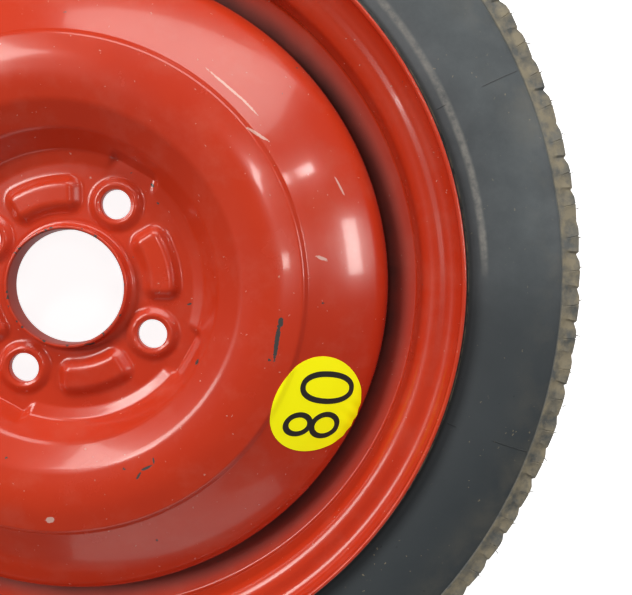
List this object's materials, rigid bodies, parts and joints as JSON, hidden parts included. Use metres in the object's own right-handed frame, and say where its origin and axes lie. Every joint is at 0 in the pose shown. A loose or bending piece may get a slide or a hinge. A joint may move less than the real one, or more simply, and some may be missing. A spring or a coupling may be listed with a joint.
{
  "type": "space saver spare wheel",
  "caption": "Narrow temporary spare wheel: pressed steel disc and rolled rim in orange-red paint, slim tyre, snap-in valve and round speed label.",
  "frame": {"origin": "centre of the hub bore, in the plane of the face that bolts against the hub", "axes": "+Z along the wheel's axis towards the outboard side, +X to the right and +Y up in the picture"},
  "size_m": [0.543, 0.543, 0.1377],
  "materials": {
    "red_paint": "gloss",
    "tyre_rubber": "matte",
    "label_film": "gloss",
    "valve_rubber": "matte",
    "brass": "satin",
    "spring_steel": "satin",
    "gasket_white": "matte",
    "cap_plastic": "matte"
  },
  "bodies": {
    "wheel": {"wheel_disc": "red_paint", "rim": "red_paint", "weld_beads": "red_paint", "tyre": "tyre_rubber", "speed_label": "label_film", "valve_body": "valve_rubber", "valve_stem": "brass", "core_plug": "brass", "core_gasket": "gasket_white", "core_spring": "spring_steel"},
    "core_pin": {"core_pin": "brass", "core_seal": "valve_rubber"},
    "cap": {"valve_cap": "cap_plastic", "cap_seal": "valve_rubber"}
  },
  "joints": [
    {"name": "cap_off", "type": "slide", "parent": "wheel", "child": "cap", "axis": [0.342, 0, 0.9397], "range_m": [0, 0.016]},
    {"name": "pin_press", "type": "slide", "parent": "wheel", "child": "core_pin", "axis": [-0.342, 0, -0.9397], "range_m": [0, 0.0012], "stiffness_N_per_m": 400, "springref_m": -0.001, "deforming": ["core_spring"]}
  ]
}
